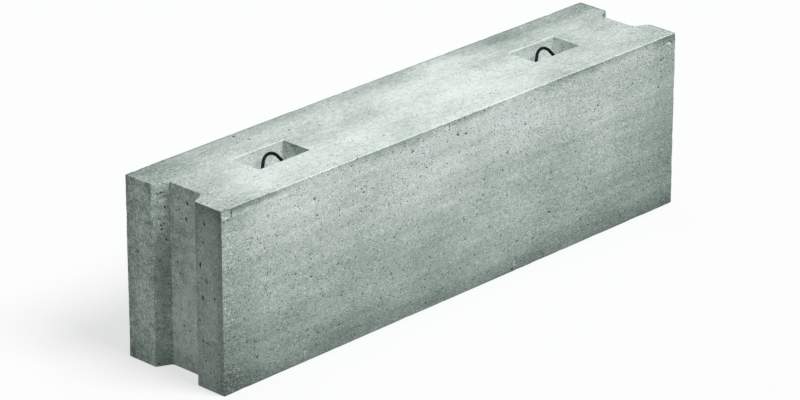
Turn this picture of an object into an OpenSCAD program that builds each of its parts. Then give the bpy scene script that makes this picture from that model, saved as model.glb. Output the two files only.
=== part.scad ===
// Foundation wall block of cast concrete with two lifting loops cast into its top.
// Millimetres. The length runs along X, the width along Y and up is Z.
// The origin is the centre of the bottom face.

/* [Block] */
// Length over the two end faces
block_length = 1980; // [1200:10:2400]
// Width of the wall the block builds
block_width = 400; // [300:10:600]
// Height of one course without its mortar bed
block_height = 580; // [500:10:700]
// Chamfer on the outer edges, groove mouths and pocket rims
arris = 3; // [1:0.5:6]

/* [End grooves] */
// Width of the mortar groove at the end face
groove_mouth = 180; // [140:5:240]
// Width of the mortar groove at its floor
groove_floor = 130; // [80:5:170]
// Depth of the mortar groove
groove_depth = 50; // [30:5:80]

/* [Pockets] */
// Distance from an end face to the middle of its pocket
pocket_inset = 395; // [300:5:480]
// Length of a pocket at the top face
pocket_length = 205; // [195:5:260]
// Width of a pocket at the top face
pocket_width = 110; // [90:5:160]
// Depth of a pocket
pocket_depth = 80; // [65:5:90]
// How far each pocket wall leans in from rim to floor
pocket_draft = 6; // [1:0.5:8]

/* [Lifting loops] */
// Diameter of the round bar
bar_diameter = 10; // [8:1:14]
// How much thicker the bar is in its bends, where cold bending swells it
bend_swell = 0.2; // [0.1:0.1:0.6]
// Radius of the top bend, to the middle of the bar
top_bend = 35; // [24:1:40]
// Angle by which each leg spreads from upright
leg_spread = 33; // [20:1:36]
// Angle by which the loop leans towards the back of its pocket
loop_lean = 25; // [5:1:30]
// How far the loop stays below the top face
top_clearance = 2; // [0:0.5:8]
// How far in front of the pocket's middle the legs leave its floor
foot_forward = 13; // [0:1:20]
// How far along the block the loop sits from the pocket's middle
loop_offset = 11; // [-12:1:12]

/* [Anchors in the concrete] */
// Depth below the pocket floor at which a leg turns upright
knee_depth = 26; // [22:1:40]
// Radius of that turn, to the middle of the bar
knee_bend = 36; // [25:1:40]
// Depth below the pocket floor of the hook's lowest point, to the middle of the bar
anchor_depth = 345; // [200:5:380]
// Radius of the end hook, to the middle of the bar
hook_bend = 30; // [20:1:40]
// Straight end after the hook
hook_tail = 30; // [15:1:60]

/* [Hidden] */
$fn = 64;
past = 10;
// how far a straight runs on inside the bend that it joins
bend_lap = 1;
pocket_shift = block_length / 2 - pocket_inset;
pocket_floor_z = block_height - pocket_depth;
apex_z = block_height - top_clearance - bar_diameter / 2;
concrete_colour = [0.62, 0.66, 0.63];
steel_colour = [0.09, 0.09, 0.1];

// Straights and bends of a round bar, each given by where it starts and where it heads
function unit(v) = v / norm(v);
function placed(x, y, z, origin) = [for (row = [0:2]) [x[row], y[row], z[row], origin[row]]];
function setback(into, out, bend) = bend * tan(acos(into * out) / 2);

module straight(start, end, start_lap = bend_lap, end_lap = bend_lap) {
    along = unit(end - start);
    translate(start - along * start_lap)
        rotate([0, acos(along[2]), atan2(along[1], along[0])])
            cylinder(d = bar_diameter, h = norm(end - start) + start_lap + end_lap);
}

module bend(start, into, inward, radius, angle) {
    multmatrix(placed(-inward, into, cross(-inward, into), start + inward * radius))
        rotate_extrude(angle = angle)
            translate([radius, 0])
                circle(d = bar_diameter + bend_swell);
}

module corner_bend(corner, into, out, radius) {
    angle = acos(into * out);
    bend(corner - into * setback(into, out, radius), into, unit(out - into * cos(angle)), radius, angle);
}

// The loop, with the pocket's middle at X = 0
up = [0, 0, 1];
above = top_bend * (1 / sin(leg_spread) - 1);
rise = apex_z - pocket_floor_z;
top_corner = [
    loop_offset,
    rise * tan(loop_lean) - foot_forward + above * sin(loop_lean),
    apex_z + above * cos(loop_lean)
];
leg_drop = top_corner[2] - pocket_floor_z + knee_depth;
leg_reach = leg_drop / (cos(leg_spread) * cos(loop_lean));

function sideways(side) = [side, 0, 0];
function leg_heading(side) = [
    side * sin(leg_spread),
    -cos(leg_spread) * sin(loop_lean),
    -cos(leg_spread) * cos(loop_lean)
];
function knee(side) = top_corner + leg_heading(side) * leg_reach;
function hook_start(side) = [knee(side)[0], knee(side)[1], pocket_floor_z - anchor_depth + hook_bend];
function tail_start(side) = hook_start(side) + sideways(side) * 2 * hook_bend;

module loop_side(side) {
    leg = leg_heading(side);
    knee_setback = setback(leg, -up, knee_bend);
    top_setback = setback(-leg_heading(-side), leg, top_bend);
    straight(top_corner + leg * top_setback, knee(side) - leg * knee_setback);
    corner_bend(knee(side), leg, -up, knee_bend);
    straight(knee(side) - up * knee_setback, hook_start(side));
    bend(hook_start(side), -up, sideways(side), hook_bend, 180);
    straight(tail_start(side), tail_start(side) + up * hook_tail, end_lap = 0);
}

module lifting_loop(middle) {
    translate([middle, 0, 0]) {
        corner_bend(top_corner, -leg_heading(-1), leg_heading(1), top_bend);
        loop_side(-1);
        loop_side(1);
    }
}

// The concrete
module chamfered_rectangle(width, height) {
    x = width / 2;
    polygon([
        [arris - x, 0], [x - arris, 0], [x, arris], [x, height - arris],
        [x - arris, height], [arris - x, height], [-x, height - arris], [-x, arris]
    ]);
}

module end_groove_outline() {
    mouth = groove_mouth / 2;
    base = groove_floor / 2;
    end = block_length / 2;
    polygon([
        [end + past, -mouth - arris - past], [end, -mouth - arris], [end - arris, -mouth],
        [end - groove_depth, -base], [end - groove_depth, base],
        [end - arris, mouth], [end, mouth + arris], [end + past, mouth + arris + past]
    ]);
}

module blank() {
    intersection() {
        linear_extrude(block_height)
            translate([0, -block_width / 2])
                chamfered_rectangle(block_length, block_width);
        rotate([90, 0, 0])
            linear_extrude(block_width, center = true)
                chamfered_rectangle(block_length, block_height);
        rotate([90, 0, 90])
            linear_extrude(block_length, center = true)
                chamfered_rectangle(block_width, block_height);
    }
}

module end_groove() {
    translate([0, 0, -past])
        linear_extrude(block_height + 2 * past)
            end_groove_outline();
}

module pocket_section(rim) {
    x = rim / 2;
    polygon([
        [pocket_draft - x, pocket_floor_z], [x - pocket_draft, pocket_floor_z],
        [x, block_height - arris], [x + arris, block_height], [x + arris + past, block_height + past],
        [-x - arris - past, block_height + past], [-x - arris, block_height], [-x, block_height - arris]
    ]);
}

module pocket(middle) {
    reach = 2 * (pocket_length + pocket_width);
    translate([middle, 0, 0])
        intersection() {
            rotate([90, 0, 0])
                linear_extrude(reach, center = true)
                    pocket_section(pocket_length);
            rotate([90, 0, 90])
                linear_extrude(reach, center = true)
                    pocket_section(pocket_width);
        }
}

module concrete_block() {
    color(concrete_colour)
        difference() {
            blank();
            end_groove();
            mirror([1, 0, 0])
                end_groove();
            for (side = [-1, 1]) {
                pocket(side * pocket_shift);
                lifting_loop(side * pocket_shift);
            }
        }
}

module lifting_loop_left() {
    color(steel_colour)
        lifting_loop(-pocket_shift);
}

module lifting_loop_right() {
    color(steel_colour)
        lifting_loop(pocket_shift);
}

concrete_block();
lifting_loop_left();
lifting_loop_right();
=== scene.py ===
# Looks of a cast concrete foundation wall block with two lifting loops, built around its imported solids.
# The frame is that of the solids: X along the block, Z up, origin under the middle of the block.
# Shaping is done in millimetres, and meshes are written in metres.
import math

import bpy
import numpy as np
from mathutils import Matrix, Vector
from mathutils.geometry import delaunay_2d_cdt


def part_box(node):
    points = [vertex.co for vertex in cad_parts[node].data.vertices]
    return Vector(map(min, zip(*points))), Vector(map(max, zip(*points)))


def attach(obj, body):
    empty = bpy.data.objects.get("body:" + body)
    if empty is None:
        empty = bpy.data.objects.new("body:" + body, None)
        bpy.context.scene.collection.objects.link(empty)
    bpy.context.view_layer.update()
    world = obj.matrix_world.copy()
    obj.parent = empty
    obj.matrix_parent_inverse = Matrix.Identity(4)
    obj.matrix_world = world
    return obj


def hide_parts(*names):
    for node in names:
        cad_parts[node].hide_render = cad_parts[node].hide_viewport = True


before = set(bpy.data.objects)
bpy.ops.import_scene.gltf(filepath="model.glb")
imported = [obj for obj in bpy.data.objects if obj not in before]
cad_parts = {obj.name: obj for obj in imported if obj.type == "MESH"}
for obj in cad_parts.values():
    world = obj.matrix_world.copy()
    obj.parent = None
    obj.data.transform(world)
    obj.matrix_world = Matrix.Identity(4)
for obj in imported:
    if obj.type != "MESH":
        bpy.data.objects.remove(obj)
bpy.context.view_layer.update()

METRES = 0.001

# Sizes of the block: the outer ones from its box, the others as in its solids
block_low, block_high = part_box("concrete_block")
LENGTH, WIDTH, HEIGHT = (round((high - low) / METRES, 2) for low, high in zip(block_low, block_high))
END_X = LENGTH / 2
SIDE_Y = WIDTH / 2
GROOVE_MOUTH = 180
GROOVE_FLOOR = 130
GROOVE_DEPTH = 50
POCKET_X = 595
POCKET_LENGTH = 205
POCKET_WIDTH = 110
POCKET_DEPTH = 80
POCKET_DRAFT = 6

# Sizes of a lifting loop, as in its solids
BAR = 10
TOP_BEND = 35
LEG_SPREAD = math.radians(33)
LEAN = math.radians(25)
TOP_CLEARANCE = 2
FOOT_FORWARD = 13
LOOP_OFFSET = 11
KNEE_DEPTH = 26
KNEE_BEND = 36
ANCHOR_DEPTH = 345
HOOK_BEND = 30
HOOK_TAIL = 30

# Wear of the concrete: how far it lies inside the sharp block, and how round its edges are
INSET = 0.8
EDGE_RADIUS = 1.5
EDGE_RADIUS_VARIES = 1.4
EDGE_NICK = 2.2
BED_EDGE_ROUNDER = 1.6
INNER_RADIUS = 4
# Swells of its surface, each with a height, a size across and a seed
SWELLS = ((0.34, 240, 5), (0.22, 70, 6), (0.12, 24, 7))
# The wear fades out below this height, so that the block stands flat
FOOT_FADE = 14

# Mesh spacing: rows beside each edge, then bands of distance from the edges with the step in each
EDGE_STEP = 5
HIDDEN_EDGE_STEP = 9
EDGE_ROWS = (1.3, 2.9, 5.2)
BANDS = ((7, 17, 6.2), (17, 44, 11), (44, 1e9, 18))
# Share of a row's offset that its points keep from every other border
ROW_CLEAR = 0.85
# Step of the finer grid at a chip, and the chip radii at which it ends and the coarse one begins
CHIP_STEP = 3
FINE_WITHIN = 1.25
COARSE_BEYOND = 1.3
# Twice the area under which a triangle is only rounding along a slanted border
SLIVER = 1e-4
# Cosine between the ways that two neighbouring triangles face, under which they are folded
FOLD = -0.2

rng = np.random.RandomState(11)


def lattice(ix, iy, iz, seed):
    """A repeatable number from 0 to 1 for each lattice point."""
    n = (ix * 374761393 + iy * 668265263 + iz * 1442695041 + seed * 974711) & 0xFFFFFFFF
    n = ((n ^ (n >> 13)) * 1274126177) & 0xFFFFFFFF
    n = ((n ^ (n >> 15)) * 1103515245) & 0xFFFFFFFF
    return ((n ^ (n >> 16)) & 0xFFFFFF) / 0xFFFFFF


def noise(points, size, seed):
    """Smooth noise from -1 to 1 whose blobs are about size across."""
    scaled = points / size
    cell = np.floor(scaled).astype(np.int64)
    t = scaled - cell
    t = t * t * t * (t * (t * 6 - 15) + 10)
    total = np.zeros(len(points))
    for corner in np.ndindex(2, 2, 2):
        weight = np.prod(np.where(corner, t, 1 - t), axis=1)
        at = cell + corner
        total += weight * lattice(at[:, 0], at[:, 1], at[:, 2], seed)
    return total * 2 - 1


def lengths(rows):
    return np.linalg.norm(rows, axis=1)


def linear(low, high, x):
    return np.clip((x - low) / (high - low), 0, 1)


def smoothstep(low, high, x):
    t = linear(low, high, x)
    return t * t * (3 - 2 * t)


def bell(x, middle, half):
    """1 at the middle, fading away over a few half widths."""
    return np.exp(-(((x - middle) / half) ** 2))


# The worn block as a distance: negative in the concrete, zero on its surface
def round_max(a, b, radius):
    """The larger of two distances, with the corner between them rounded."""
    corner = np.hypot(np.maximum(a + radius, 0), np.maximum(b + radius, 0))
    return np.minimum(np.maximum(a, b), -radius) + corner


def groove_space(p):
    """Distance to the space of the end grooves, negative in it."""
    into = END_X - np.abs(p[:, 0])
    slope = math.atan2((GROOVE_MOUTH - GROOVE_FLOOR) / 2, GROOVE_DEPTH)
    side = (np.abs(p[:, 1]) - GROOVE_MOUTH / 2) * math.cos(slope) + into * math.sin(slope)
    return round_max(side, into - GROOVE_DEPTH, INNER_RADIUS)


def pocket_space(p):
    """Distance to the space of the pockets, negative in it."""
    slope = math.atan2(POCKET_DRAFT, POCKET_DEPTH)
    down = (HEIGHT - p[:, 2]) * math.sin(slope)
    ends = (np.abs(np.abs(p[:, 0]) - POCKET_X) - POCKET_LENGTH / 2) * math.cos(slope) + down
    sides = (np.abs(p[:, 1]) - POCKET_WIDTH / 2) * math.cos(slope) + down
    floor = HEIGHT - POCKET_DEPTH - p[:, 2]
    return round_max(round_max(ends, sides, INNER_RADIUS), floor, INNER_RADIUS)


def worn_block(p):
    """Distance to the worn surface, whose edges are rounder in places."""
    nick = smoothstep(0.35, 0.8, noise(p, 38, 3))
    radius = EDGE_RADIUS + EDGE_RADIUS_VARIES * (0.5 + 0.5 * noise(p, 95, 2)) + EDGE_NICK * nick
    ends = np.abs(p[:, 0]) - END_X
    sides = np.abs(p[:, 1]) - SIDE_Y
    beds = np.abs(p[:, 2] - HEIGHT / 2) - HEIGHT / 2
    solid = round_max(round_max(ends, sides, radius), beds, radius + BED_EDGE_ROUNDER)
    solid = round_max(solid, -groove_space(p), radius)
    solid = round_max(solid, -pocket_space(p), radius)
    swell = sum(height * noise(p, size, seed) for height, size, seed in SWELLS)
    return solid + (INSET + swell) * smoothstep(0, FOOT_FADE, p[:, 2])


def slope_at(p, distance, reach=0.2):
    """The way that the distance grows at points, by small steps to each side."""
    steps = np.eye(3) * reach
    return np.stack([distance(p + step) - distance(p - step) for step in steps], axis=1) / (2 * reach)


def settle(p, distance, rounds=7, longest=4):
    """Moves points to where the distance is zero, along its slope."""
    p = p.copy()
    for _ in range(rounds):
        value = distance(p)
        slope = slope_at(p, distance)
        steep = np.maximum((slope ** 2).sum(1), 0.2)
        move = slope * (value / steep)[:, None]
        far = lengths(move)
        p -= move * np.minimum(1, longest / np.maximum(far, 1e-9))[:, None]
    return p


# Broken corners and edges, as lumps knocked out of the surface
LOWEST = np.array([-END_X + INSET, -SIDE_Y + INSET, 0])
HIGHEST = np.array([END_X - INSET, SIDE_Y - INSET, HEIGHT - INSET])


class Chip:
    """A lump with its middle outside the concrete, which leaves a ragged break of its own tone."""

    def __init__(self, middle, radii, ragged=0.22, tone=0.06, outline=0):
        self.middle = np.array(middle, float)
        self.radii = np.array(radii, float)
        self.ragged = ragged
        self.tone = tone
        self.outline = outline

    def reach(self, p):
        """How far points are from the middle, in radii."""
        return lengths((p - self.middle) / self.radii)

    def knock_out(self, p, seed):
        """Pushes points in the lump out to its skin. Also says how deep each was."""
        far = self.reach(p)
        skin = 1 + self.ragged * (0.6 * noise(p, 13, seed) + 0.4 * noise(p, 5.5, seed + 1))
        deep = np.clip(1 - far / skin, 0, 1)
        hit = deep > 0
        stretch = (skin / np.maximum(far, 1e-6))[hit]
        knocked = self.middle + (p[hit] - self.middle) * stretch[:, None]
        p[hit] = np.clip(knocked, LOWEST, HIGHEST)
        return deep

    def shade(self, deep):
        """How much lighter the break is, with a dark outline where it has one."""
        border = smoothstep(0, 0.02, deep) * (1 - smoothstep(0.05, 0.15, deep))
        return self.tone * smoothstep(0, 0.25, deep) - self.outline * border


def seen_chips():
    """The breaks that show from the front."""
    left, right, near, mouth = -END_X, END_X, -SIDE_Y, GROOVE_MOUTH / 2
    return [
        Chip((left + 19, near - 4, HEIGHT - 13), (26, 9, 25), 0.15, 0.06, 0.12),
        Chip((left + 51, near - 3, HEIGHT - 15), (9, 5, 11), 0.25, 0.05),
        Chip((left + 18, mouth - 22, HEIGHT + 10), (25, 16, 36), 0.25, -0.02),
        Chip((left + 14, mouth - 24, HEIGHT - 52), (32, 15, 17), 0.25, 0.02),
        Chip((right + 4, mouth - 3, HEIGHT + 5), (11, 9, 12)),
        Chip((right + 5, -mouth + 4, HEIGHT + 8), (17, 16, 15)),
        Chip((right - 152, near - 3, HEIGHT - 14), (9, 5, 19), 0.25, 0.03),
        Chip((right - 32, near - 6, HEIGHT - 28), (21, 11, 8), 0.3, 0.13, 0.07),
        Chip((right - 60, near - 3, HEIGHT - 31), (22, 5, 4), 0.2, 0.12),
        Chip((-58, near - 3, HEIGHT - 15), (8, 5, 13), 0.3, 0.01),
        Chip((-38, near - 3, HEIGHT - 14), (10, 5, 14), 0.3, 0.01),
        Chip((236, near - 3, 8), (5, 6, 7), 0.2, -0.24),
        Chip((249, near - 4, 31), (8, 8, 18), 0.3, 0.13),
        Chip((-677, near - 3, 10), (5, 6, 7), 0.2, -0.22),
        Chip((-661, near - 4, 34), (8, 8, 18), 0.3, 0.1),
        Chip((166, near - 4, 26), (7, 7, 14), 0.3, 0.09),
    ]


# Flat patches of the sharp block, each with its corners anticlockwise seen from outside
def plan_outline():
    x, y = END_X, SIDE_Y
    mouth, base, floor = GROOVE_MOUTH / 2, GROOVE_FLOOR / 2, END_X - GROOVE_DEPTH
    right = [(x, -y), (x, -mouth), (floor, -base), (floor, base), (x, mouth), (x, y)]
    return right + [(-a, -b) for a, b in right]


def rectangle(middle, length, width, z):
    x, y = length / 2, width / 2
    return [(middle - x, -y, z), (middle + x, -y, z), (middle + x, y, z), (middle - x, y, z)]


def pocket_rings(middle):
    rim = rectangle(middle, POCKET_LENGTH, POCKET_WIDTH, HEIGHT)
    narrower = 2 * POCKET_DRAFT
    floor = rectangle(middle, POCKET_LENGTH - narrower, POCKET_WIDTH - narrower, HEIGHT - POCKET_DEPTH)
    return rim, floor


def block_patches():
    plan = plan_outline()
    pockets = [pocket_rings(-POCKET_X), pocket_rings(POCKET_X)]
    patches = [
        ("top", [(x, y, HEIGHT) for x, y in plan], [rim[::-1] for rim, _ in pockets]),
        ("bottom", [(x, y, 0) for x, y in plan[::-1]], []),
    ]
    for (ax, ay), (bx, by) in zip(plan, plan[1:] + plan[:1]):
        kind = "long" if ay == by else "end"
        patches.append((kind, [(ax, ay, 0), (bx, by, 0), (bx, by, HEIGHT), (ax, ay, HEIGHT)], []))
    for rim, floor in pockets:
        patches.append(("pocket", floor, []))
        for i in range(4):
            j = (i + 1) % 4
            patches.append(("pocket", [floor[j], floor[i], rim[i], rim[j]], []))
    return patches


def edge_points(a, b):
    """Points from a up to but not including b, the same from either side."""
    low, high = sorted((a, b))
    step = HIDDEN_EDGE_STEP if a[2] == b[2] == 0 else EDGE_STEP
    count = max(1, round(math.dist(a, b) / step))
    share = np.arange(count + 1)[:, None] / count
    points = np.array(low) + (np.array(high) - np.array(low)) * share
    if (a, b) != (low, high):
        points = points[::-1]
    return points[:-1]


class Plane:
    """The plane of a patch, with its own flat coordinates."""

    def __init__(self, corners):
        points = np.array(corners)
        after = np.roll(points, -1, axis=0)
        self.origin = points[0]
        self.normal = np.cross(points, after).sum(0)
        self.normal /= np.linalg.norm(self.normal)
        self.u = (points[1] - points[0]) / np.linalg.norm(points[1] - points[0])
        self.v = np.cross(self.normal, self.u)

    def flat(self, points):
        away = np.asarray(points) - self.origin
        return np.stack([away @ self.u, away @ self.v], axis=1)

    def solid(self, flat):
        return self.origin + flat[:, :1] * self.u + flat[:, 1:] * self.v


def distance_to_loops(flat, loops):
    best = np.full(len(flat), 1e9)
    for loop in loops:
        for a, b in zip(loop, np.roll(loop, -1, axis=0)):
            along = b - a
            t = np.clip(((flat - a) @ along) / (along @ along), 0, 1)
            best = np.minimum(best, lengths(flat - a - t[:, None] * along))
    return best


def inside_loops(flat, loops):
    """True inside the outer loop and outside the holes, by counting crossings."""
    inside = np.zeros(len(flat), bool)
    for loop in loops:
        for a, b in zip(loop, np.roll(loop, -1, axis=0)):
            if a[1] == b[1]:
                continue
            spans = (a[1] > flat[:, 1]) != (b[1] > flat[:, 1])
            cross = a[0] + (flat[:, 1] - a[1]) * (b[0] - a[0]) / (b[1] - a[1])
            inside ^= spans & (flat[:, 0] < cross)
    return inside


def edge_rows(borders):
    """Points in rows just inside the borders."""
    rows = []
    for border in borders:
        along = np.roll(border, -1, axis=0) - border
        along /= lengths(along)[:, None]
        inward = np.stack([-along[:, 1], along[:, 0]], axis=1)
        rows += [(border + inward * offset, offset) for offset in EDGE_ROWS]
    return rows


def scattered_grid(low, high, step):
    """A jittered grid of triangles over a box."""
    rise = step * math.sqrt(3) / 2
    rows = np.arange(low[1], high[1], rise)
    columns = np.arange(low[0], high[0], step)
    x, y = np.meshgrid(columns, rows)
    x = x + (np.arange(len(rows)) % 2)[:, None] * step / 2
    points = np.stack([x.ravel(), y.ravel()], axis=1)
    return points + rng.uniform(-0.14, 0.14, points.shape) * step


class Pore:
    """An air hole: where it is on its patch, its half length and half width, its direction and depth."""

    # Rings of points: radius in half sizes, number of points and share of the depth
    RINGS = ((0, 1, 1), (0.55, 6, 0.8), (0.93, 9, 0.12), (1.25, 9, 0))

    def __init__(self, middle, half_length, half_width, angle, depth):
        self.middle = np.array(middle, float)
        self.half = np.array([half_length, half_width])
        self.depth = depth
        self.turn = np.array([[math.cos(angle), -math.sin(angle)], [math.sin(angle), math.cos(angle)]])

    def points(self):
        found = []
        for radius, count, _ in self.RINGS:
            for k in range(count):
                a = 2 * math.pi * (k + 0.5 * radius) / count
                wobble = rng.uniform(0.9, 1.1)
                heading = np.array([math.cos(a), math.sin(a)])
                found.append(self.turn @ (self.half * radius * wobble * heading))
        return np.array(found) + self.middle

    def depths(self):
        return np.array([share * self.depth for _, count, share in self.RINGS for _ in range(count)])

    def reach(self, flat):
        """How far points are from the middle, in half sizes."""
        return lengths(((flat - self.middle) @ self.turn) / self.half)

    def crowds(self, middle, half_length):
        """True for a new air hole that would come too near."""
        return np.linalg.norm(self.middle - middle) < PORES_APART * (self.half[0] + half_length)


# Scattered air holes, with half widths in millimetres
PORES_PER_SQUARE_METRE = {"long": 230, "top": 130, "end": 240, "pocket": 160, "bottom": 40}
SMALLEST_PORE = 1.2
PORE_SPREAD = 0.5
LARGEST_PORE = 3
# Half sizes that an air hole takes up, that it keeps free of mesh points, and that two keep apart
PORE_REACH = 1.3
PORE_CLEAR = 1.5
PORES_APART = 1.5
# How far it keeps from the edge rows
PORE_MARGIN = 1.5

# Air holes and scratches that stand out: middle, half length, half width, angle in degrees and depth
SEEN_MARKS = (
    (-940, -6, 532, 9, 3.8, 112, 3.5),
    (-940, -1, 482, 8, 3.2, 110, 3.5),
    (-940, 17, 139, 4.5, 3, 90, 3),
    (-940, 39, 336, 4.5, 3, 90, 3),
    (-940, -8, 131, 4, 3, 60, 3),
    (-940, 24, 190, 8, 1.5, 120, 1.5),
    (-990, -128, 519, 7.5, 3.4, 112, 3.5),
    (-990, -109, 387, 9, 3.4, 88, 3.5),
    (-990, -117, 287, 8, 3.6, 100, 3.5),
    (-990, -165, 298, 4.5, 3, 80, 3),
    (-990, -103, 212, 4.5, 3.2, 90, 3),
    (-990, -129, 149, 30, 1.3, -9, 0.75),
    (-990, -129, 344, 30, 1.3, -10, 0.7),
    (-965, 77.5, 446, 4, 3, 90, 3),
    (-957, 73.5, 450, 3.5, 2.8, 90, 3),
    (-963, 76.5, 433, 4.5, 2.6, 30, 3),
    (-952, 71, 400, 4, 3, 90, 3),
    (-413, -200, 462, 4.5, 3, 60, 3),
    (-206, -200, 529, 8, 2.6, 40, 3),
    (257, -200, 95, 5, 2.6, 20, 3),
    (-650, -200, 98, 5, 2.6, 20, 3),
    (-149, -200, 21, 3.5, 2.6, 60, 3),
    (212, -200, 402, 6, 2.6, 50, 3),
    (-948, -200, 560, 15, 1.2, 86, 1.5),
    (-968, -200, 544, 20, 1.2, 9, 1.4),
    (-965, 77.5, 546, 22, 1.3, 3, 1.1),
    (-888, -200, 461, 6, 1.2, -4, 1.2),
    (-870, -200, 459, 7, 1.2, -6, 1.2),
    (-48, -200, 560, 13, 1.2, 86, 1.6),
    (850, -200, 565, 8, 1.2, 88, 1.6),
    (-573, 181, 580, 6, 5, 0, 3),
    (-600, 138, 580, 5, 4, 30, 3),
    (-556, 132, 580, 7, 4, 60, 3),
    (-424, 99, 580, 5, 4, 20, 3),
    (-70, 168, 580, 6, 4, 10, 3),
)


def seen_pores(plane, loops):
    """The marks that lie on this patch."""
    pores = []
    for *middle, half_length, half_width, degrees, depth in SEEN_MARKS:
        flat = plane.flat([middle])
        if abs((np.array(middle) - plane.origin) @ plane.normal) < 0.1 and inside_loops(flat, loops)[0]:
            pores.append(Pore(flat[0], half_length, half_width, math.radians(degrees), depth))
    return pores


def random_pores(kind, loops, area, pores):
    """Adds scattered air holes that keep clear of each other and of the edges."""
    low, high = loops[0].min(0), loops[0].max(0)
    wanted = len(pores) + int(PORES_PER_SQUARE_METRE[kind] * area * METRES ** 2)
    for _ in range(wanted * 3):
        if len(pores) == wanted:
            break
        half_width = min(SMALLEST_PORE + rng.exponential(PORE_SPREAD), LARGEST_PORE)
        half_length = half_width * rng.uniform(1, 2.3)
        middle = rng.uniform(low, high)
        angle = rng.normal(0, 0.7)
        clear = PORE_REACH * half_length + EDGE_ROWS[-1] + PORE_MARGIN
        if not inside_loops(middle[None], loops)[0] or distance_to_loops(middle[None], loops)[0] < clear:
            continue
        if any(pore.crowds(middle, half_length) for pore in pores):
            continue
        pores.append(Pore(middle, half_length, half_width, angle, half_width * rng.uniform(0.8, 1.1)))
    return pores


class Shell:
    """The vertices and triangles gathered from all patches."""

    def __init__(self):
        self.points = []
        self.normals = []
        self.depths = []
        self.triangles = []
        self.shared = {}

    def add(self, points, normal, depths):
        first = len(self.points)
        self.points += list(points)
        self.normals += [normal] * len(points)
        self.depths += list(depths)
        return np.arange(first, len(self.points))

    def add_border(self, points, normal):
        found = []
        for p in points:
            key = tuple(np.round(p, 3))
            if key not in self.shared:
                self.shared[key] = self.add([p], normal, [0])[0]
            found.append(self.shared[key])
        return np.array(found)


def refined(flat, chip, plane, loops):
    """The points with a finer grid where a chip breaks this patch, clear of its edge rows."""
    reach = chip.radii.max() * COARSE_BEYOND
    if abs((chip.middle - plane.origin) @ plane.normal) > reach:
        return flat
    middle = plane.flat([chip.middle])[0]
    fine = scattered_grid(middle - reach, middle + reach, CHIP_STEP)
    clear = EDGE_ROWS[-1] + 0.5 * CHIP_STEP
    fine = fine[inside_loops(fine, loops) & (distance_to_loops(fine, loops) > clear)]
    fine = fine[chip.reach(plane.solid(fine)) < FINE_WITHIN]
    coarse = (chip.reach(plane.solid(flat)) > COARSE_BEYOND) | (distance_to_loops(flat, loops) < clear)
    return np.concatenate([flat[coarse], fine])


def patch_points(kind, plane, borders, loops):
    """Inner points of a patch with the depth of each below the surface."""
    span = loops[0].max(0) - loops[0].min(0)
    pores = random_pores(kind, loops, span[0] * span[1], seen_pores(plane, loops))
    found = []
    for points, offset in edge_rows(borders):
        far_enough = distance_to_loops(points, loops) > ROW_CLEAR * offset
        found.append(points[far_enough & inside_loops(points, loops)])
    for near, far, step in BANDS:
        points = scattered_grid(loops[0].min(0), loops[0].max(0), step)
        away = distance_to_loops(points, loops)
        found.append(points[(away > near) & (away <= far) & inside_loops(points, loops)])
    flat = np.concatenate(found)
    for chip in seen_chips():
        flat = refined(flat, chip, plane, loops)
    keep = np.ones(len(flat), bool)
    for pore in pores:
        keep &= pore.reach(flat) > PORE_CLEAR
    flat = flat[keep]
    depths = np.zeros(len(flat))
    for pore in pores:
        flat = np.concatenate([flat, pore.points()])
        depths = np.concatenate([depths, pore.depths()])
    within = inside_loops(flat, loops)
    return flat[within], depths[within]


def triangulate(borders, inner, loops):
    """Triangles between the border points and the inner ones, by their numbers in that order."""
    flat = np.concatenate(borders + [inner])
    edges = []
    first = 0
    for border in borders:
        ring = np.arange(first, first + len(border))
        edges += list(zip(ring.tolist(), np.roll(ring, -1).tolist()))
        first += len(border)
    _, _, faces, origins, _, _ = delaunay_2d_cdt([Vector(p) for p in flat], edges, [], 0, 1e-5)
    source = np.array([o[0] for o in origins])
    triangles = source[np.array(faces)]
    corners = flat[triangles]
    (ux, uy), (vx, vy) = (corners[:, 1] - corners[:, 0]).T, (corners[:, 2] - corners[:, 0]).T
    not_flat = np.abs(ux * vy - uy * vx) > SLIVER
    return triangles[not_flat & inside_loops(corners.mean(1), loops)]


def add_patch(shell, kind, corners, holes):
    plane = Plane(corners)
    solid_borders = [np.concatenate([edge_points(a, b) for a, b in zip(ring, ring[1:] + ring[:1])])
                     for ring in [corners] + holes]
    borders = [plane.flat(b) for b in solid_borders]
    loops = [plane.flat(ring) for ring in [corners] + holes]
    inner, depths = patch_points(kind, plane, borders, loops)
    triangles = triangulate(borders, inner, loops)
    index = np.concatenate([shell.add_border(b, plane.normal) for b in solid_borders]
                           + [shell.add(plane.solid(inner), plane.normal, depths)])
    shell.triangles.append(index[triangles])


def worn_edges():
    """Convex edges of the block, each with the direction that points out of the corner."""
    plan = plan_outline()
    edges = []
    for (ax, ay), (bx, by) in zip(plan, plan[1:] + plan[:1]):
        side = np.array([by - ay, ax - bx, 0]) / math.dist((ax, ay), (bx, by))
        edges.append(((ax, ay, HEIGHT), (bx, by, HEIGHT), side + [0, 0, 1]))
    for x, y in plan:
        if abs(x) == END_X:
            across = np.sign(y) if abs(y) == SIDE_Y else -np.sign(y)
            edges.append(((x, y, 0), (x, y, HEIGHT), np.array([np.sign(x), across, 0])))
    for middle in (-POCKET_X, POCKET_X):
        rim, _ = pocket_rings(middle)
        for a, b in zip(rim, rim[1:] + rim[:1]):
            inward = np.array([-(b[1] - a[1]), b[0] - a[0], 0]) / math.dist(a, b)
            edges.append((a, b, inward + [0, 0, 1]))
    return [(np.array(a), np.array(b), out / np.linalg.norm(out)) for a, b, out in edges]


# Small chips along the edges, with radii in millimetres
CHIPS_PER_METRE = 7
SMALLEST_CHIP = 2.4
CHIP_SPREAD = 1.3
LARGEST_CHIP = 6.5
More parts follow.
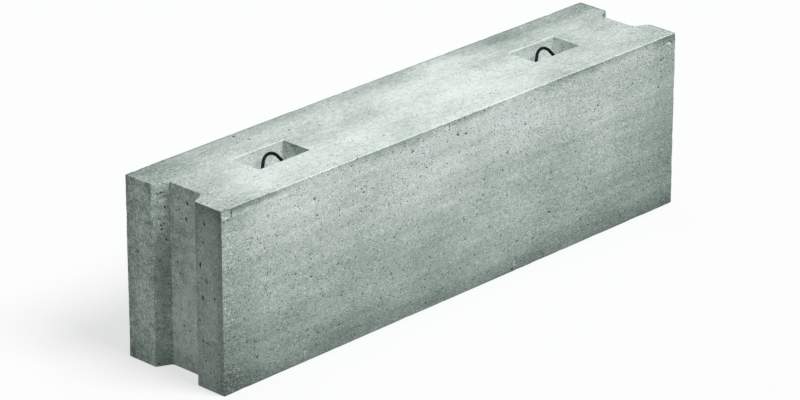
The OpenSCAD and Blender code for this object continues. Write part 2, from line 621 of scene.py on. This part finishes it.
# How far a chip's middle lies off its edge, in radii
CHIP_LIFT = 0.52
# Noise seed of the first chip
CHIP_SEED = 100


def random_chips():
    """Chips scattered along the worn edges, each drawn out along its edge."""
    chips = []
    for a, b, out in worn_edges():
        length = np.linalg.norm(b - a)
        for _ in range(rng.poisson(CHIPS_PER_METRE * length * METRES)):
            size = min(SMALLEST_CHIP + rng.exponential(CHIP_SPREAD), LARGEST_CHIP)
            stretch = 1 + rng.uniform(0, 1.4) * np.abs(b - a) / length
            at = a + (b - a) * rng.uniform(0.01, 0.99)
            chips.append(Chip(at + out * size * CHIP_LIFT, size * stretch, 0.3))
    return chips


# Places where the paste has washed off the stones or cracked, as a middle, a reach and a strength
NEAR_FOOT = (-986, -198, 14)
NEAR_TOP = (-975, -200, 566)
BARE_ZONES = (
    (NEAR_FOOT, 62, 1),
    (NEAR_TOP, 55, 0.3),
    ((-990, 190, 570), 60, 0.6),
    ((990, -200, 20), 70, 0.5),
    ((988, -200, 525), 32, 0.9),
) + tuple(((-964, -200, z), 38, 0.7) for z in range(90, 540, 45))
CRACKED_ZONES = (((-962, 76, 545), 55, 0.35), (NEAR_TOP, 48, 0.2))
# Lumps of the bare stones, each with a height, a size and a seed, and how far they lie below the paste
LUMPS = ((0.7, 9, 31), (0.5, 5, 32))
ROUGH_DEEP = 0.8


def near_zones(points, zones):
    """How strongly each point belongs to any of the zones."""
    near = [strength * bell(lengths(points - middle), 0, reach)
            for middle, reach, strength in zones]
    return np.max(near, axis=0)


def worn_ends(points):
    """How much of the paste is gone from the top towards its ends."""
    on_top = points[:, 2] > HEIGHT - 6
    return 0.55 * on_top * smoothstep(END_X - 230, END_X - 30, np.abs(points[:, 0]))


def roughen(points):
    """Lumpy stones where the paste has washed off, square to the worn surface."""
    lumps = sum(height * noise(points, size, seed) for height, size, seed in LUMPS)
    push = near_zones(points, BARE_ZONES) * (lumps - ROUGH_DEEP)
    outward = slope_at(points, worn_block)
    outward /= np.maximum(lengths(outward), 0.5)[:, None]
    points += outward * (push * smoothstep(1, 8, points[:, 2]))[:, None]


def facing_ways(points, triangles):
    """The direction that each triangle faces."""
    a, b, c = (points[triangles[:, k]] for k in range(3))
    facing = np.cross(b - a, c - a)
    return facing / np.maximum(lengths(facing), 1e-12)[:, None]


def unfold(points, triangles, rounds=12):
    """Eases points beside a fold towards the middle of their neighbours."""
    starts = triangles.ravel()
    ends = np.roll(triangles, -1, axis=1).ravel()
    by_edge = np.lexsort((np.maximum(starts, ends), np.minimum(starts, ends)))
    one, other = (by_edge.reshape(-1, 2) // 3).T
    for _ in range(rounds):
        facing = facing_ways(points, triangles)
        folded = (facing[one] * facing[other]).sum(1) < FOLD
        beside = np.unique(triangles[np.concatenate([one[folded], other[folded]])])
        near = np.isin(starts, beside)
        total = np.zeros_like(points)
        np.add.at(total, starts[near], points[ends[near]])
        count = np.bincount(starts[near], minlength=len(points))[beside, None]
        points[beside] = (points[beside] + total[beside] / count) / 2


# Tone of the concrete, as its lightness in full light. Darkening, partly painted shade, is a loss of it,
# with places in millimetres.
CLEAN = 0.822
# Stretches of a long face where a painted shade lies just under the top edge, as a middle and a half length
SHADED_STRETCHES = ((-330, 190), (-30, 160), (600, 220), (-865, 115), (960, 60))


def stained(a, b, stains):
    """How much darker the stains make points of a face, from their two coordinates on it."""
    return sum(strength * bell(a, at_a, half_a) * bell(b, at_b, half_b)
               for at_a, at_b, half_a, half_b, strength in stains)


def shade_under_top_edge(p, drift):
    """A ragged painted shade under the top edge, strongest along the shaded stretches, with a dark painted
    line just below the edge and a painted smudge of shade at one corner.
    """
    x, below = p[:, 0] + 60 * drift, HEIGHT - p[:, 2]
    stretch = np.max([bell(x, middle, half) for middle, half in SHADED_STRETCHES], axis=0)
    ragged = 1 + 0.35 * noise(p, 34, 45) + 0.35 * noise(p, 130, 46)
    band = 0.13 * stretch * (1 - smoothstep(12, 32, below / ragged))
    line = 0.06 * bell(below, 5, 4)
    smudge = 0.09 * smoothstep(860, 910, p[:, 0]) * bell(below, 20, 17)
    return band + line + smudge


# Light streaks rubbed along the front: start and end, height at each, half height and strength
RUBS = (((30, 225), (543, 567), 11, 0.065), ((-930, -700), (552, 559), 5, 0.06))
# Half the length over which a streak fades in or out
RUB_FADE = 25


def pale_rub(p):
    """How much lighter the streaks that slope up to the top edge are."""
    x, y, z = p.T
    lighter = np.zeros(len(p))
    for (start, end), (low, high), half_height, strength in RUBS:
        rising = low + (high - low) * (x - start) / (end - start)
        begun = smoothstep(start - RUB_FADE, start + RUB_FADE, x)
        ended = smoothstep(end - RUB_FADE, end + RUB_FADE, x)
        lighter += strength * begun * (1 - ended) * bell(z, rising, half_height)
    return lighter * (y < 0)


# Stains and paler patches of the long faces: middle, half length, half height and how much darker
LONG_FACE_STAINS = (
    (430, 55, 270, 75, 0.04),
    (-340, 40, 320, 55, -0.04),
    (-250, 320, 140, 55, 0.03),
    (330, 310, 130, 50, -0.03),
    (740, 320, 100, 60, 0.04),
    (160, 540, 170, 45, -0.03),
)


def long_face_shade_and_darkening(p, drift):
    """Darker towards the ground and towards the ends, with a broken band of painted shade under the top
    edge.
    """
    x, z = p[:, 0], p[:, 2]
    ground = 0.2 * (1 - linear(50, 460, z + 25 * drift)) + 0.09 * (1 - smoothstep(8, 80, z + 8 * drift))
    ends = 0.075 * smoothstep(END_X - 190, END_X, np.abs(x) + 30 * drift)
    wide = 0.03 * smoothstep(100, 700, np.abs(x - 60))
    return ground + ends + wide + stained(x, z, LONG_FACE_STAINS) + shade_under_top_edge(p, drift) - pale_rub(p)


# Stains and paler patches of the top: middle, half length, half width and how much darker
TOP_STAINS = (
    (790, 0, 140, 75, 0.085),
    (420, 70, 110, 75, 0.07),
    (-700, -165, 200, 45, 0.05),
    (-440, -105, 80, 40, 0.05),
    (-750, 140, 130, 50, -0.04),
    (0, -100, 130, 40, -0.04),
    (680, -150, 130, 40, -0.045),
)


def top_darkening(p, drift):
    """Darker towards the back edge and the ends, and stained in places."""
    x, y = p[:, 0], p[:, 1]
    back = 0.13 * smoothstep(60, 205, y + 25 * drift)
    ends = 0.07 * smoothstep(END_X - 280, END_X, np.abs(x) + 40 * drift)
    back_fringe = smoothstep(SIDE_Y - 11, SIDE_Y - 4, y)
    end_fringe = smoothstep(END_X - 13, END_X - 5, x)
    fringe = 0.1 * np.maximum(back_fringe, end_fringe)
    outward = 0.05 * smoothstep(100, 520, np.abs(x - 150))
    return back + ends + fringe + outward + stained(x, y, TOP_STAINS)


def lip_darkening(p):
    """Darker along the lips' edges and on the upper part of the front lip."""
    y, z = p[:, 1], p[:, 2]
    mouth = GROOVE_MOUTH / 2
    lip_middle = (SIDE_Y + mouth) / 2
    edges = 0.04 * np.clip((np.abs(y) - lip_middle) / 52, -1, 1) ** 2 * (np.abs(y) > mouth + 2)
    inner_edge = 0.04 * bell(y, -mouth - 5, 6) * (y < 1 - mouth)
    upper = 0.07 * smoothstep(360, 500, z) * (1 - smoothstep(95, 135, -y)) + 0.03 * smoothstep(480, 560, z)
    return edges + inner_edge + upper * (y < -mouth - 1)


def groove_painted_shade(p, normals, under_top):
    """Painted shade on the slopes and on the upper part of the floor, which is paler on its middle and its
    front half.
    """
    y, z = p[:, 1], p[:, 2]
    base = GROOVE_FLOOR / 2
    at_break = (p[:, 0] < 0) & (y > 0)
    # painted shade on the groove's slopes, less near the top at the break
    slopes = 0.13 * (1 + under_top * np.where(at_break, -1.1, 0.6)) + 0.05 * bell(z, 260, 90)
    upper = 0.035 * smoothstep(330, 480, z) * (np.abs(y) < base)
    middle = 0.03 * bell(z, 240, 120) * (1 - smoothstep(40, 90, np.abs(y - 20)))
    front = 0.04 * (bell(y, -40, 8) + smoothstep(250, 400, z) * smoothstep(12, 40, -y)) * (y > -base - 1)
    return slopes * (np.abs(normals[:, 1]) > 0.5) + upper - middle - front


def end_shade_and_darkening(p, normals, drift):
    """Darker on the front lip, towards the corners and at the foot, with painted shade under the top edge
    and in the groove.
    """
    y, z = p[:, 1], p[:, 2]
    front = 0.012 + 0.07 * smoothstep(40, 110, -y) + 0.08 * smoothstep(145, 195, -y + 8 * drift)
    back = 0.08 * smoothstep(125, 200, y + 12 * drift)
    foot = 0.03 * (1 - smoothstep(0, 90, z + 20 * drift))
    under_top = bell(z, HEIGHT, 34)
    # painted shade in a band under the top edge
    rim = (0.09 + 0.08 * smoothstep(90, 110, -y)) * under_top * (0.7 + 0.3 * noise(p, 60, 44))
    return front + back + foot + rim + lip_darkening(p) + groove_painted_shade(p, normals, under_top)


def pocket_painted_light_and_stains(p, normals):
    """Painted shade in the pockets, darkest just under the rim and most on the left pocket's end wall. The
    right pocket's end wall gets painted light instead, with mottled stains and a dark painted line under
    its rim.
    """
    end_wall = normals[:, 0] < -0.9
    # painted shade under the left pocket's rim, strongest on its end wall
    left = bell(p[:, 2], HEIGHT, 14) * np.where(end_wall, 0.15, 0.03) + np.where(end_wall, 0, 0.015)
    stains = 0.2 * smoothstep(0, 0.5, noise(p, 17, 47))
    rim_line = 0.04 * bell(p[:, 2], HEIGHT - 6, 5)
    # painted light lifts the right pocket's end wall
    right = np.where(end_wall, stains + rim_line - 0.235, 0.03)
    return np.where(p[:, 0] < 0, left, right)


# Width of the painted highlight along the top edges, and around a pocket
HIGHLIGHT_WIDTH = 2.5
POCKET_HIGHLIGHT_WIDTH = 3.4


def painted_rim_highlight(p):
    """A thin painted highlight along the top edges. At the pockets it shows most at the back and far right.
    """
    at_top = p[:, 2] > HEIGHT - HIGHLIGHT_WIDTH
    outer = np.abs(p[:, 1]) > SIDE_Y - HIGHLIGHT_WIDTH
    pocket = np.abs(pocket_space(p)) < POCKET_HIGHLIGHT_WIDTH
    back = p[:, 1] > POCKET_WIDTH / 2 - 4
    right = p[:, 0] > POCKET_X + POCKET_LENGTH / 2 - 4
    return 0.12 * (at_top & outer) + at_top * pocket * (0.03 + 0.1 * (back | right))


def tone(p, normals):
    """Clean concrete, darkened in places and by painted shade under the top edges, in the grooves and in
    the pockets, with painted highlights along the top edges and painted light in the right pocket.
    """
    drift = noise(p, 230, 41) + 0.6 * noise(p, 90, 42)
    on_top = (normals[:, 2] > 0.9) & (p[:, 2] > HEIGHT - 1)
    on_long = np.abs(p[:, 1]) > SIDE_Y - 1
    on_end = (np.abs(normals[:, 0]) > 0.3) & (np.abs(p[:, 0]) > END_X - GROOVE_DEPTH - 1)
    darkening = pocket_painted_light_and_stains(p, normals)
    darkening = np.where(on_long, long_face_shade_and_darkening(p, drift), darkening)
    darkening = np.where(on_top, top_darkening(p, drift), darkening)
    darkening = np.where(on_end, end_shade_and_darkening(p, normals, drift), darkening)
    return CLEAN - darkening + painted_rim_highlight(p)


# Depth at which the painted shade in an air hole is as dark as it gets
FULL_SHADE_DEPTH = 1.2


def build_block():
    """Points and triangles of the worn block, with the marks that its material reads."""
    shell = Shell()
    for kind, corners, holes in block_patches():
        add_patch(shell, kind, corners, holes)
    points = np.array(shell.points)
    normals = np.array(shell.normals)
    depths = np.array(shell.depths)
    triangles = np.concatenate(shell.triangles)
    tones = tone(points, normals)
    points = settle(points, worn_block)
    points -= normals * depths[:, None]
    for seed, chip in enumerate(seen_chips() + random_chips(), CHIP_SEED):
        tones += chip.shade(chip.knock_out(points, seed))
    roughen(points)
    unfold(points, triangles)
    marks = {
        # painted shade of the air holes, darker in deeper ones
        "pore": smoothstep(0, FULL_SHADE_DEPTH, depths),
        "tone": tones,
        "bare": np.maximum(near_zones(points, BARE_ZONES), worn_ends(points)),
        "crack": near_zones(points, CRACKED_ZONES),
    }
    return points, triangles, marks


def linked(name, data):
    """A new object in the scene."""
    added = bpy.data.objects.new(name, data)
    bpy.context.scene.collection.objects.link(added)
    return added


def new_mesh_object(name, points, faces, attributes):
    mesh = bpy.data.meshes.new(name)
    mesh.from_pydata((points * METRES).tolist(), [], faces)
    mesh.shade_smooth()
    for key, values in attributes.items():
        mesh.attributes.new(key, "FLOAT", "POINT").data.foreach_set("value", values.astype(np.float32))
    return linked(name, mesh)


# Lifting loops
def filleted(corners, bends, step=2.5):
    """Points along a line through corners, with each corner bent at its own radius."""
    corners = [np.array(c, float) for c in corners]
    path = [corners[0]]
    for before, at, after, bend in zip(corners, corners[1:], corners[2:], bends):
        into = (at - before) / np.linalg.norm(at - before)
        out = (after - at) / np.linalg.norm(after - at)
        angle = math.acos(np.clip(into @ out, -1, 1))
        start = at - into * bend * math.tan(angle / 2)
        inward = out - into * math.cos(angle)
        inward /= np.linalg.norm(inward)
        middle = start + inward * bend
        count = max(4, int(bend * angle / step))
        for k in range(count + 1):
            a = angle * k / count
            path.append(middle - inward * bend * math.cos(a) + into * bend * math.sin(a))
    path.append(corners[-1])
    return resampled(np.array(path), step)


def resampled(path, step):
    """The same line with no long straights and no doubled points."""
    kept = [path[0]]
    for p in path[1:]:
        gap = np.linalg.norm(p - kept[-1])
        if gap < 0.2 * step:
            continue
        count = max(1, round(gap / (3 * step)))
        start = kept[-1]
        kept += [start + (p - start) * (k + 1) / count for k in range(count)]
    return np.array(kept)


def loop_line(middle):
    """Middle line of a lifting loop, from one hook's end to the other's."""
    apex_z = HEIGHT - TOP_CLEARANCE - BAR / 2
    floor_z = HEIGHT - POCKET_DEPTH
    above = TOP_BEND * (1 / math.sin(LEG_SPREAD) - 1)
    back = (apex_z - floor_z) * math.tan(LEAN) - FOOT_FORWARD
    top = np.array([middle + LOOP_OFFSET, back + above * math.sin(LEAN), apex_z + above * math.cos(LEAN)])
    down = math.cos(LEG_SPREAD)
    reach = (top[2] - floor_z + KNEE_DEPTH) / (down * math.cos(LEAN))

    def side(sign):
        leg = np.array([sign * math.sin(LEG_SPREAD), -down * math.sin(LEAN), -down * math.cos(LEAN)])
        knee = top + leg * reach
        inner = np.array([knee[0], knee[1], floor_z - ANCHOR_DEPTH])
        outer = inner + [sign * 2 * HOOK_BEND, 0, 0]
        return [knee, inner, outer, outer + [0, 0, HOOK_BEND + HOOK_TAIL]]

    bends = [HOOK_BEND, HOOK_BEND, KNEE_BEND, TOP_BEND, KNEE_BEND, HOOK_BEND, HOOK_BEND]
    return filleted(side(-1)[::-1] + [top] + side(1), bends)


def swept_bar(line, radius, sides=20):
    """A round bar along a line, closed at both ends."""
    along = np.gradient(line, axis=0)
    along /= lengths(along)[:, None]
    across = np.cross(along[0], [0, 1, 0])
    rings = []
    for p, heading in zip(line, along):
        across = across - heading * (across @ heading)
        across /= np.linalg.norm(across)
        up = np.cross(heading, across)
        turns = 2 * np.pi * np.arange(sides) / sides
        rings.append(p + radius * (np.cos(turns)[:, None] * across + np.sin(turns)[:, None] * up))
    points = np.concatenate(rings)
    faces = []
    for r in range(len(line) - 1):
        for k in range(sides):
            j = (k + 1) % sides
            faces.append([r * sides + k, r * sides + j, (r + 1) * sides + j, (r + 1) * sides + k])
    last = (len(line) - 1) * sides
    faces.append(list(range(sides))[::-1])
    faces.append(list(range(last, last + sides)))
    return points, faces


# Materials
class Nodes:
    """Short ways to add shader nodes and wire them."""

    def __init__(self, material):
        material.use_nodes = True
        self.tree = material.node_tree
        self.tree.nodes.clear()

    def add(self, kind, inputs=None, **settings):
        node = self.tree.nodes.new("ShaderNode" + kind)
        for key, value in settings.items():
            setattr(node, key, value)
        for key, value in (inputs or {}).items():
            if isinstance(value, bpy.types.NodeSocket):
                self.tree.links.new(value, node.inputs[key])
            else:
                node.inputs[key].default_value = value
        return node

    def math(self, operation, a, b=0, c=0):
        return self.add("Math", {0: a, 1: b, 2: c}, operation=operation).outputs[0]

    def times(self, a, b, plus=None):
        if plus is None:
            return self.math("MULTIPLY", a, b)
        return self.math("MULTIPLY_ADD", a, b, plus)

    def ramp(self, value, low, high, to_low=0, to_high=1):
        inputs = {"Value": value, "From Min": low, "From Max": high, "To Min": to_low, "To Max": to_high}
        return self.add("MapRange", inputs, interpolation_type="SMOOTHSTEP").outputs["Result"]

    def noise(self, at, scales, detail, roughness):
        """Noise with a scale of its own along each axis."""
        scaled = self.add("VectorMath", {0: at, 1: scales}, operation="MULTIPLY").outputs["Vector"]
        inputs = {"Vector": scaled, "Scale": 1, "Detail": detail, "Roughness": roughness}
        return self.add("TexNoise", inputs).outputs["Fac"]

    def mix(self, share, a, b):
        return self.add("Mix", {"Factor": share, 6: a, 7: b}, data_type="RGBA").outputs[2]

    def attribute(self, name):
        return self.add("Attribute", attribute_name=name).outputs["Fac"]


def specks(nodes, at, scale, smallest, largest, share):
    """Round spots, mostly small: a share of the cells has one, with its own size."""
    cell = nodes.add("TexVoronoi", {"Vector": at, "Scale": scale}, feature="F1")
    chance = nodes.add("SeparateColor", {"Color": cell.outputs["Color"]})
    rare = nodes.math("POWER", chance.outputs["Red"], 2)
    size = nodes.times(rare, (largest - smallest) * scale, smallest * scale)
    away = nodes.math("DIVIDE", cell.outputs["Distance"], size)
    spot = nodes.ramp(away, 0.55, 1, 1, 0)
    has_one = nodes.math("LESS_THAN", chance.outputs["Green"], share)
    return nodes.times(spot, has_one)


def air_holes(nodes, at, on_end, on_top):
    """Specks of small air holes, which the colour darkens with painted shade, in loose clusters and fewest
    on the top.
    """
    share = nodes.times(on_end, -0.1, nodes.times(on_top, -0.32, 0.64))
    crowd = nodes.ramp(nodes.noise(at, (11, 11, 11), 3, 0.6), 0.35, 0.65, 0.5, 1.5)
    share = nodes.times(share, crowd)
    larger = specks(nodes, at, 38, 0.0017, 0.0034, nodes.times(share, 0.6))
    return nodes.math("MAXIMUM", larger, specks(nodes, at, 105, 0.0013, 0.0027, share))


# Hues of the concrete's darker and paler parts, the limits of its lightness and the share of it that the
# painted shade of a hole takes
PALE_HUE = (0.935, 1, 0.974, 1)
DARK_HUE = (0.83, 1, 0.918, 1)
DISPLAY_GAMMA = 2.2
DARKEST = 0.15
BRIGHTEST = 0.9
HOLE_SHADE = 0.72


def by_face(nodes, at, on_end, long_scales, end_scales, detail):
    """Noise drawn out along the block on its long faces and upright on its ends."""
    along = nodes.noise(at, long_scales, detail, 0.6)
    upright = nodes.noise(at, end_scales, detail, 0.6)
    return nodes.add("Mix", {"Factor": on_end, 2: along, 3: upright}).outputs[0]


def bare_stones(nodes, at):
    """Light stones and dark gaps between them, where the paste has gone."""
    stones = nodes.noise(at, (112.5, 150, 150), 2.5, 0.6)
    light = nodes.ramp(stones, 0.53, 0.66, 0, 0.2)
    dark = nodes.ramp(stones, 0.34, 0.47, 0.12, 0)
    return nodes.times(nodes.attribute("bare"), nodes.math("SUBTRACT", light, dark))


def cracks(nodes, at):
    """Dark hairlines in the cracked places."""
    bent = nodes.add("TexNoise", {"Vector": at, "Scale": 60, "Detail": 3}).outputs["Color"]
    moved = nodes.add("VectorMath", {0: bent, 1: (0.02, 0.02, 0.02), 2: at}, operation="MULTIPLY_ADD")
    inputs = {"Vector": moved.outputs["Vector"], "Scale": 48}
    cells = nodes.add("TexVoronoi", inputs, feature="DISTANCE_TO_EDGE")
    line = nodes.ramp(cells.outputs["Distance"], 0.015, 0.09, 0.2, 0)
    return nodes.times(nodes.attribute("crack"), line)


def concrete_layers(nodes, at, on_end, on_top):
    """Noises by name, each with its strength in the tone."""
    across = nodes.add("SeparateXYZ", {"Vector": at}).outputs["Y"]
    end_fineness = nodes.times(on_end, nodes.ramp(across, -0.15, 0.12, 0.08, 0.85))
    fineness = nodes.times(on_top, -0.06, nodes.math("ADD", end_fineness, 1))
    end_blotches = nodes.times(on_end, nodes.ramp(across, -0.15, 0.12, 0.12, 0.5))
    strokes = by_face(nodes, at, on_end, (110, 320, 320), (300, 300, 120), 2)
    return {
        "clouds": (nodes.noise(at, (2.75, 5, 5), 4, 0.52), nodes.ramp(on_top, 0, 1, 0.28, 0.5)),
        "streaks": (by_face(nodes, at, on_end, (1.6, 30, 30), (22, 22, 1.6), 4),
                    nodes.ramp(on_top, 0, 1, 0.2, 0.08)),
        "strokes": (strokes, nodes.times(fineness, 0.34)),
        "flecks": (nodes.noise(at, (168, 210, 210), 2, 0.6), nodes.times(fineness, 0.16)),
        "grain": (nodes.noise(at, (430, 430, 430), 2, 0.7), nodes.times(fineness, 0.56)),
        "blotches": (nodes.noise(at, (40, 40, 40), 4, 0.65), nodes.math("ADD", end_blotches, 0.16)),
        "trowel": (nodes.noise(at, (9, 130, 130), 3, 0.6), nodes.times(on_top, 0.1)),
        "dabs": (nodes.noise(at, (36, 170, 170), 2, 0.6), nodes.times(on_top, 0.16)),
    }


def concrete_shade(nodes, at, on_end, on_top, layers, stones):
    """Lightness of the concrete before its air holes."""
    shade = nodes.attribute("tone")
    for layer, strength in layers.values():
        shade = nodes.times(nodes.math("SUBTRACT", layer, 0.5), strength, shade)
    shade = nodes.math("ADD", shade, stones)
    shade = nodes.math("SUBTRACT", shade, cracks(nodes, at))
    sand = specks(nodes, at, 120, 0.0013, 0.0028, 0.8)
    shade = nodes.times(sand, nodes.ramp(on_end, 0, 1, 0.14, 0.25), shade)
    return nodes.math("SMOOTH_MIN", shade, nodes.ramp(on_top, 0, 1, 1, 0.89), 0.08)


def concrete_colour(nodes, on_top, shade, holes):
    """Colour from the lightness: greener where it is darker, and dark with painted shade in the holes."""
    paleness = nodes.ramp(nodes.times(on_top, 0.08, shade), 0.63, 0.83)
    # the holes are darkened with painted shade
    shade = nodes.times(shade, nodes.times(holes, -HOLE_SHADE, 1))
    shade = nodes.math("MAXIMUM", shade, DARKEST)
    albedo = nodes.math("MINIMUM", nodes.math("POWER", shade, DISPLAY_GAMMA), BRIGHTEST)
    hue = nodes.mix(paleness, DARK_HUE, PALE_HUE)
    return nodes.add("VectorMath", {0: hue, "Scale": albedo}, operation="SCALE").outputs["Vector"]


def concrete_height(nodes, layers, small_holes, stones):
    """Height of the fine relief, for the bump."""
    height = nodes.times(small_holes, -1.4)
    for name, share in (("grain", 0.5), ("streaks", 0.7), ("strokes", 0.6)):
        height = nodes.times(layers[name][0], share, height)
    return nodes.times(stones, 2.5, height)


def add_surface(nodes, colour, roughness, specular, bump):
    inputs = {"Base Color": colour, "Roughness": roughness, "Specular IOR Level": specular, "Normal": bump}
    shader = nodes.add("BsdfPrincipled", inputs)
    nodes.add("OutputMaterial", {"Surface": shader.outputs[0]})


def concrete_material():
    material = bpy.data.materials.new("cast_concrete")
    nodes = Nodes(material)
    at = nodes.add("TexCoord").outputs["Object"]
    facing = nodes.add("SeparateXYZ", {"Vector": nodes.add("NewGeometry").outputs["True Normal"]})
    on_end = nodes.ramp(nodes.math("ABSOLUTE", facing.outputs["X"]), 0.3, 0.6)
    on_top = nodes.ramp(facing.outputs["Z"], 0.6, 0.9)
    layers = concrete_layers(nodes, at, on_end, on_top)
    stones = bare_stones(nodes, at)
    small_holes = air_holes(nodes, at, on_end, on_top)
    # painted shade of the air holes, the small specks and the built ones
    holes = nodes.math("MAXIMUM", small_holes, nodes.attribute("pore"))
    shade = concrete_shade(nodes, at, on_end, on_top, layers, stones)
    colour = concrete_colour(nodes, on_top, shade, holes)
    height = concrete_height(nodes, layers, small_holes, stones)
    bump = nodes.add("Bump", {"Height": height, "Strength": 0.6, "Distance": 0.0014}).outputs[0]
    add_surface(nodes, colour, nodes.ramp(layers["grain"][0], 0.2, 0.8, 0.8, 0.95), 0.2, bump)
    return material


# Mill skin of the bar from dark to light, and the rust over a share of it
SKIN_DARK = (0.003, 0.0033, 0.0036, 1)
SKIN_LIGHT = (0.013, 0.0135, 0.014, 1)
RUST = (0.03, 0.018, 0.011, 1)
RUST_SHARE = 0.35


def steel_material():
    material = bpy.data.materials.new("black_bar_steel")
    nodes = Nodes(material)
    at = nodes.add("TexCoord").outputs["Object"]
    scale = nodes.noise(at, (180, 180, 180), 4, 0.65)
    rust = nodes.ramp(nodes.noise(at, (60, 60, 60), 5, 0.7), 0.56, 0.72)
    skin = nodes.mix(scale, SKIN_DARK, SKIN_LIGHT)
    colour = nodes.mix(nodes.times(rust, RUST_SHARE), skin, RUST)
    bump = nodes.add("Bump", {"Height": scale, "Strength": 0.4, "Distance": 0.0004}).outputs[0]
    add_surface(nodes, colour, nodes.ramp(scale, 0.3, 0.7, 0.42, 0.7), 0.08, bump)
    return material


# Floor and surroundings
FLOOR_SIZE = 80000
FLOOR_GREY = (0.27, 0.27, 0.27, 1)
FLOOR_GLOW = 0.66
SKY_TINT = (0.887, 1, 0.925, 1)
SKY_STRENGTH = 0.38
WHITE = (1, 1, 1, 1)


def seen_directly(nodes):
    """1 where the camera, a reflection or glass looks at the surface, else 0."""
    path = nodes.add("LightPath").outputs
    seen = nodes.math("MAXIMUM", path["Is Camera Ray"], path["Is Glossy Ray"])
    return nodes.math("MAXIMUM", seen, path["Is Transmission Ray"])


def floor_material():
    material = bpy.data.materials.new("studio_floor")
    nodes = Nodes(material)
    plain = nodes.add("BsdfDiffuse", {"Color": FLOOR_GREY})
    strength = nodes.times(seen_directly(nodes), FLOOR_GLOW)
    glow = nodes.add("Emission", {"Color": WHITE, "Strength": strength})
    both = nodes.add("AddShader", {0: plain.outputs[0], 1: glow.outputs[0]})
    nodes.add("OutputMaterial", {"Surface": both.outputs[0]})
    return material


def add_floor():
    corners = np.array(rectangle(0, FLOOR_SIZE, FLOOR_SIZE, 0))
    floor = new_mesh_object("floor", corners, [(0, 1, 2, 3)], {})
    floor.data.materials.append(floor_material())


def light_world():
    world = bpy.data.worlds.new("studio")
    bpy.context.scene.world = world
    nodes = Nodes(world)
    sky = nodes.add("Background", {"Color": SKY_TINT, "Strength": SKY_STRENGTH})
    backdrop = nodes.add("Background", {"Color": WHITE, "Strength": 1})
    both = nodes.add("MixShader", {0: seen_directly(nodes), 1: sky.outputs[0], 2: backdrop.outputs[0]})
    nodes.add("OutputWorld", {"Surface": both.outputs[0]})


# Lights: name, strength, where it comes from and its width in degrees. The low fill lifts the back.
LIGHTS = (("key", 3.1, (0.15, -0.53, 0.82), 28), ("fill", 0.8, (0.25, 0.96, 0.07), 12))


def add_lights():
    for name, strength, place, degrees in LIGHTS:
        lamp = bpy.data.lights.new(name, "SUN")
        lamp.energy = strength
        lamp.angle = math.radians(degrees)
        linked(name, lamp).rotation_euler = Vector(place).to_track_quat("Z", "Y").to_euler()


# Camera: which way it stands from the block, how far, and the point that it looks at
CAMERA_AZIMUTH = math.radians(-46.212)
CAMERA_ELEVATION = math.radians(23.019)
CAMERA_DISTANCE = 12.513
CAMERA_LENS = 185.256
AIM_RIGHT = -0.0364
AIM_UP = 0.2531


def add_camera():
    a, e = CAMERA_AZIMUTH, CAMERA_ELEVATION
    back = Vector((math.sin(a) * math.cos(e), -math.cos(a) * math.cos(e), math.sin(e)))
    target = Vector((math.cos(a) * AIM_RIGHT, math.sin(a) * AIM_RIGHT, AIM_UP))
    lens = bpy.data.cameras.new("camera")
    lens.lens = CAMERA_LENS
    lens.sensor_width = 36
    lens.sensor_fit = "HORIZONTAL"
    lens.clip_end = 200
    camera = linked("camera", lens)
    camera.location = target + back * CAMERA_DISTANCE
    camera.rotation_euler = back.to_track_quat("Z", "Y").to_euler()
    bpy.context.scene.camera = camera


def dress():
    points, triangles, marks = build_block()
    block = new_mesh_object("cast_block", points, triangles.tolist(), marks)
    block.data.materials.append(concrete_material())
    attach(block, "root")
    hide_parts("concrete_block")
    steel = steel_material()
    for side, middle in (("left", -POCKET_X), ("right", POCKET_X)):
        points, faces = swept_bar(loop_line(middle), BAR / 2)
        loop = new_mesh_object("bar_loop_" + side, points, faces, {})
        loop.data.materials.append(steel)
        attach(loop, "root")
        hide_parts("lifting_loop_" + side)


add_camera()
add_floor()
light_world()
add_lights()
dress()
bpy.context.scene.view_settings.view_transform = "Standard"
